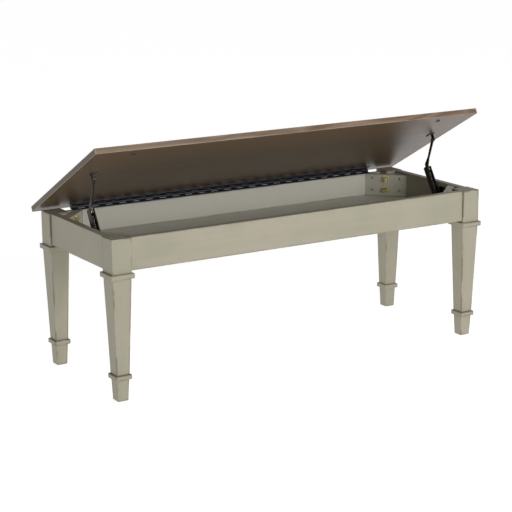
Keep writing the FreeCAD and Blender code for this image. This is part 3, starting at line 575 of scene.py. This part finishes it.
def make_bolts():
    """Hanger bolts, threaded where they stand out of their nuts."""
    shapes = []
    for solid in solids_of("hanger_bolts"):
        (first, radius), (last, _) = ends(solid)
        outer, inner = sorted((first, last), key=lambda end: end.xy.length)
        bolt = threaded_bolt(radius, (inner - outer).length, THREAD_PITCH, THREAD_LONG)
        shapes.append(placed(bolt, outer, outer - inner))
    piece("threaded_bolts", shapes, yellow_zinc, "frame", "zinc_yellow", "hanger_bolts")


def make_bumpers():
    """Two low rubber domes under the lid."""
    straight_share = 0.25
    angles = [math.radians(a) for a in (0, 15, 30, 45, 60, 75, 88)]
    shapes = []
    for solid in solids_of("lid_bumpers"):
        heights = solid @ np.array(LID_DOWN)
        tall = float(np.ptp(heights))
        middle = Vector((solid.min(0) + solid.max(0)) / 2)
        base = middle + LID_DOWN * (float(heights.min()) - middle.dot(LID_DOWN))
        radius = float(np.ptp(solid[:, 0])) / 2
        profile = [(radius, 0, 0)]
        for a in angles:
            height = tall * (straight_share + (1 - straight_share) * math.sin(a))
            profile.append((radius * math.cos(a), height, 0))
        shapes.append(placed(lathe(profile), base, LID_DOWN))
    piece("rubber_bumpers", shapes, dark_rubber, "lid", "rubber", "lid_bumpers", smooth=50)


def make_spring(side):
    """A coil spring in the channel, at one length, on a mesh of its own; the real spring shortens as
    the lid comes down.
    """
    low, high = ends(solids_of("stay_spring_" + side)[0])
    seat, end = sorted((low[0], high[0]), key=lambda point: point.z)
    along = (end - seat).normalized()
    long = (end - seat).length - COIL_SHORT_BY
    shape = placed(coil(COIL_RADIUS, COIL_WIRE, long, COIL_TURNS), seat, along)
    made = piece("coil_spring_" + side, [shape], blued_steel, "stay_channel_" + side,
                 "spring_steel", "stay_spring_" + side, smooth=60)
    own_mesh(made)


def make_pieces():
    """Every piece that is drawn in more detail than its CAD node."""
    make_screws("corner_block_screws", "frame", "zinc", bright_zinc, WOOD_HEAD_SHARE)
    make_screws("batten_screws", "frame", "zinc", bright_zinc, WOOD_HEAD_SHARE)
    make_screws("hinge_frame_screws", "frame", "black_hinge", hinge_black, HINGE_HEAD_SHARE)
    make_screws("hinge_lid_screws", "lid", "black_hinge", hinge_black, HINGE_HEAD_SHARE)
    make_screws("stay_plate_screws", "frame", "black_metal", stay_black, WOOD_HEAD_SHARE)
    make_screws("stay_bracket_screws", "lid", "black_metal", stay_black, WOOD_HEAD_SHARE)
    make_nuts()
    make_bolts()
    make_bumpers()
    make_spring("left")
    make_spring("right")


finish_cad_nodes()
make_pieces()


# ---------------------------------------------------------------- stage

WHITE = (1, 1, 1, 1)
FLOOR_WIDE = 120
FLOOR_GLOW = 0.78
SKY_HORIZON = 0.68
SKY_OVERHEAD = 0.25
KEY_PLACE = (0.6, -3.6, 1.5)
KEY_TARGET = (0, 0, 0.4)
KEY_WIDE = 2.6
KEY_TALL = 1.4
KEY_WATTS = 72
CAMERA_PLACE = (-2.3348, -3.7888, 1.3628)
CAMERA_YAW_PITCH_ROLL = (31.341, -13.765, -0.379)
SENSOR_WIDE_MM = 36
FOCAL_LONG_MM = 113.06


def make_floor():
    """A wide, pale, even floor that lights up a little by itself."""
    bpy.ops.mesh.primitive_plane_add(size=FLOOR_WIDE)
    floor = bpy.context.object
    floor.name = "floor"
    f = Finish("pale_floor", Roughness=0.9, Specular_IOR_Level=0.1,
               Emission_Color=WHITE, Emission_Strength=FLOOR_GLOW)
    base = f.mix(f.noise(f.place, 0.2), colour(200, 200, 200), colour(206, 206, 206))
    wear(floor, f.done(base))


def make_softbox(name, place, target, wide, tall, power):
    """A rectangular lamp at a place, aimed at a target. Its power is in watts."""
    lamp = bpy.data.lights.new(name, "AREA")
    lamp.shape = "RECTANGLE"
    lamp.size = wide
    lamp.size_y = tall
    lamp.energy = power
    stand = bpy.data.objects.new(name, lamp)
    stand.location = place
    stand.rotation_euler = (Vector(target) - Vector(place)).to_track_quat("-Z", "Y").to_euler()
    bpy.context.scene.collection.objects.link(stand)


def make_sky(horizon, overhead):
    """An even white surround, dimmer overhead. Both values are strengths."""
    dimmest_up = 0.8
    world = bpy.data.worlds.new("studio")
    world.use_nodes = True
    tree = world.node_tree
    sky = tree.nodes["Background"]
    sky.inputs["Color"].default_value = WHITE
    coords = tree.nodes.new("ShaderNodeTexCoord")
    parts = tree.nodes.new("ShaderNodeSeparateXYZ")
    dim = tree.nodes.new("ShaderNodeMapRange")
    ranges = {"From Min": 0.0, "From Max": dimmest_up, "To Min": horizon, "To Max": overhead}
    for name, value in ranges.items():
        dim.inputs[name].default_value = value
    tree.links.new(coords.outputs["Generated"], parts.inputs[0])
    tree.links.new(parts.outputs["Z"], dim.inputs["Value"])
    tree.links.new(dim.outputs["Result"], sky.inputs["Strength"])
    bpy.context.scene.world = world


def make_camera():
    """The viewer's place: in front, to the left and a little above."""
    yaw, pitch, roll = (math.radians(angle) for angle in CAMERA_YAW_PITCH_ROLL)
    lens = bpy.data.cameras.new("camera")
    lens.sensor_width = SENSOR_WIDE_MM
    lens.lens = FOCAL_LONG_MM
    camera = bpy.data.objects.new("camera", lens)
    level = math.cos(pitch)
    ahead = Vector((math.sin(yaw) * level, math.cos(yaw) * level, math.sin(pitch)))
    right = Vector((math.cos(yaw), -math.sin(yaw), 0))
    up = right.cross(ahead)
    right, up = (math.cos(roll) * right + math.sin(roll) * up,
                 math.cos(roll) * up - math.sin(roll) * right)
    camera.matrix_world = Matrix((right, up, -ahead)).transposed().to_4x4()
    camera.location = CAMERA_PLACE
    bpy.context.scene.collection.objects.link(camera)
    bpy.context.scene.camera = camera


make_floor()
make_sky(SKY_HORIZON, SKY_OVERHEAD)
make_softbox("key", KEY_PLACE, KEY_TARGET, KEY_WIDE, KEY_TALL, KEY_WATTS)
make_camera()
bpy.context.scene.view_settings.view_transform = "Standard"
